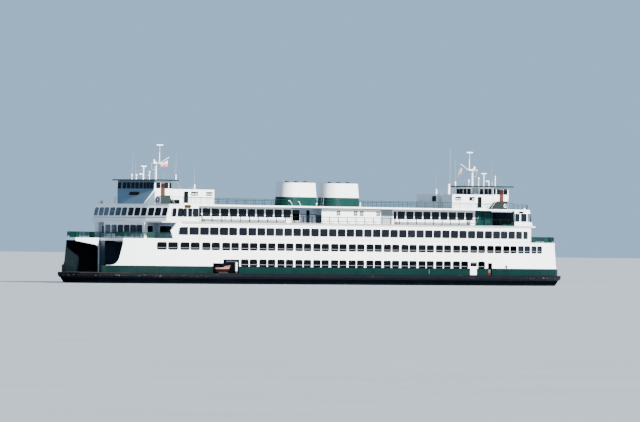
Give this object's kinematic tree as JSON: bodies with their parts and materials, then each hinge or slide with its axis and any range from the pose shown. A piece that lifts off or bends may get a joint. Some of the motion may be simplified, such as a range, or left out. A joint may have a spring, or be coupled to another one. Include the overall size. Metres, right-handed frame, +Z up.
{
  "type": "double-ended car ferry scale model",
  "caption": "Double-ended car ferry with a full-width car deck, two passenger decks, a wheelhouse at each end and oval funnels amidships.",
  "frame": {"origin": "amidships on the centreline, at the waterline", "axes": "+X along the ship to the picture's right end, +Z up, -Y towards the side the picture shows"},
  "size_m": [11.65, 2.23, 2.79],
  "materials": {
    "white_paint": "semi-gloss",
    "green_paint": "semi-gloss",
    "deck_paint": "matte, non-slip",
    "hull_paint": "matte",
    "guard_paint": "scuffed matte",
    "engine_iron": "plain",
    "door_wood": "varnished",
    "flag_cloth": "woven",
    "propeller_bronze": "cast",
    "boat_orange": "moulded"
  },
  "bodies": {
    "ship": {"hull": "hull_paint", "engine_block": "engine_iron", "guard_belt": "guard_paint", "car_deck": "deck_paint", "side_shell_near": "white_paint", "side_shell_far": "white_paint", "casing_near": "white_paint", "casing_far": "white_paint", "upper_car_deck_near": "deck_paint", "upper_car_deck_far": "deck_paint", "cabin_deck": "white_paint", "cabin_house": "white_paint", "sun_deck": "white_paint", "sun_house": "white_paint", "bench_near_left": "white_paint", "bench_far_right": "white_paint", "bench_near_right": "white_paint", "bench_far_left": "white_paint", "bridge_deck": "white_paint", "officers_block_right": "white_paint", "officers_block_left": "white_paint", "wheelhouse_right": "white_paint", "wheelhouse_left": "white_paint", "wheelhouse_roof_right": "green_paint", "wheelhouse_roof_left": "green_paint", "door_landing_far_right": "green_paint", "door_landing_near_left": "green_paint", "door_landing_near_right": "green_paint", "door_landing_far_left": "green_paint", "mast_right": "white_paint", "mast_left": "white_paint", "flag_right": "flag_cloth", "flag_left": "flag_cloth", "funnel_right": "white_paint", "funnel_left": "white_paint", "rescue_boat_near": "boat_orange", "rescue_boat_far": "boat_orange"},
    "propeller_right": {"propeller_right": "propeller_bronze"},
    "propeller_left": {"propeller_left": "propeller_bronze"},
    "rudder_right": {"rudder_right": "hull_paint"},
    "rudder_left": {"rudder_left": "hull_paint"},
    "radar_top_right": {"radar_top_right": "white_paint"},
    "radar_top_left": {"radar_top_left": "white_paint"},
    "radar_low_right": {"radar_low_right": "white_paint"},
    "radar_low_left": {"radar_low_left": "white_paint"},
    "door_near_right": {"wheelhouse_door_near_right": "door_wood"},
    "door_far_left": {"wheelhouse_door_far_left": "door_wood"},
    "door_far_right": {"wheelhouse_door_far_right": "door_wood"},
    "door_near_left": {"wheelhouse_door_near_left": "door_wood"},
    "davit_near": {"davit_near": "white_paint"},
    "davit_far": {"davit_far": "white_paint"},
    "gate_near": {"side_gate_near": "white_paint"},
    "gate_far": {"side_gate_far": "white_paint"}
  },
  "joints": [
    {"name": "propeller_right_spin", "type": "hinge", "parent": "ship", "child": "propeller_right", "pos_m": [4.89, 0, -0.34], "axis": [1, 0, 0], "continuous": true},
    {"name": "rudder_right_turn", "type": "hinge", "parent": "ship", "child": "rudder_right", "pos_m": [5.22, 0, -0.15], "axis": [0, 0, 1], "range_deg": [-35, 35]},
    {"name": "radar_top_right_spin", "type": "hinge", "parent": "ship", "child": "radar_top_right", "pos_m": [3.735, 0, 2.21], "axis": [0, 0, 1], "continuous": true},
    {"name": "radar_low_right_spin", "type": "hinge", "parent": "ship", "child": "radar_low_right", "pos_m": [4.1, 0, 1.86], "axis": [0, 0, 1], "continuous": true},
    {"name": "propeller_left_spin", "type": "hinge", "parent": "ship", "child": "propeller_left", "pos_m": [-4.89, 0, -0.34], "axis": [1, 0, 0], "continuous": true},
    {"name": "rudder_left_turn", "type": "hinge", "parent": "ship", "child": "rudder_left", "pos_m": [-5.22, 0, -0.15], "axis": [0, 0, 1], "range_deg": [-35, 35]},
    {"name": "radar_top_left_spin", "type": "hinge", "parent": "ship", "child": "radar_top_left", "pos_m": [-3.735, 0, 2.21], "axis": [0, 0, 1], "continuous": true},
    {"name": "radar_low_left_spin", "type": "hinge", "parent": "ship", "child": "radar_low_left", "pos_m": [-4.1, 0, 1.86], "axis": [0, 0, 1], "continuous": true},
    {"name": "door_near_right_slide", "type": "slide", "parent": "ship", "child": "door_near_right", "axis": [-1, 0, 0], "range_m": [0, 0.075]},
    {"name": "door_far_right_slide", "type": "slide", "parent": "ship", "child": "door_far_right", "axis": [-1, 0, 0], "range_m": [0, 0.075]},
    {"name": "door_near_left_slide", "type": "slide", "parent": "ship", "child": "door_near_left", "axis": [1, 0, 0], "range_m": [0, 0.075]},
    {"name": "door_far_left_slide", "type": "slide", "parent": "ship", "child": "door_far_left", "axis": [1, 0, 0], "range_m": [0, 0.075]},
    {"name": "davit_near_slew", "type": "hinge", "parent": "ship", "child": "davit_near", "pos_m": [-3.005, -1.03, 0.3], "axis": [0, 0, 1], "range_deg": [0, 90]},
    {"name": "gate_near_swing", "type": "hinge", "parent": "ship", "child": "gate_near", "pos_m": [2.58, -1.077, 0.25], "axis": [0, 0, -1], "range_deg": [0, 100]},
    {"name": "davit_far_slew", "type": "hinge", "parent": "ship", "child": "davit_far", "pos_m": [3.005, 1.03, 0.3], "axis": [0, 0, 1], "range_deg": [0, 90]},
    {"name": "gate_far_swing", "type": "hinge", "parent": "ship", "child": "gate_far", "pos_m": [-2.58, 1.077, 0.25], "axis": [0, 0, -1], "range_deg": [0, 100]}
  ]
}
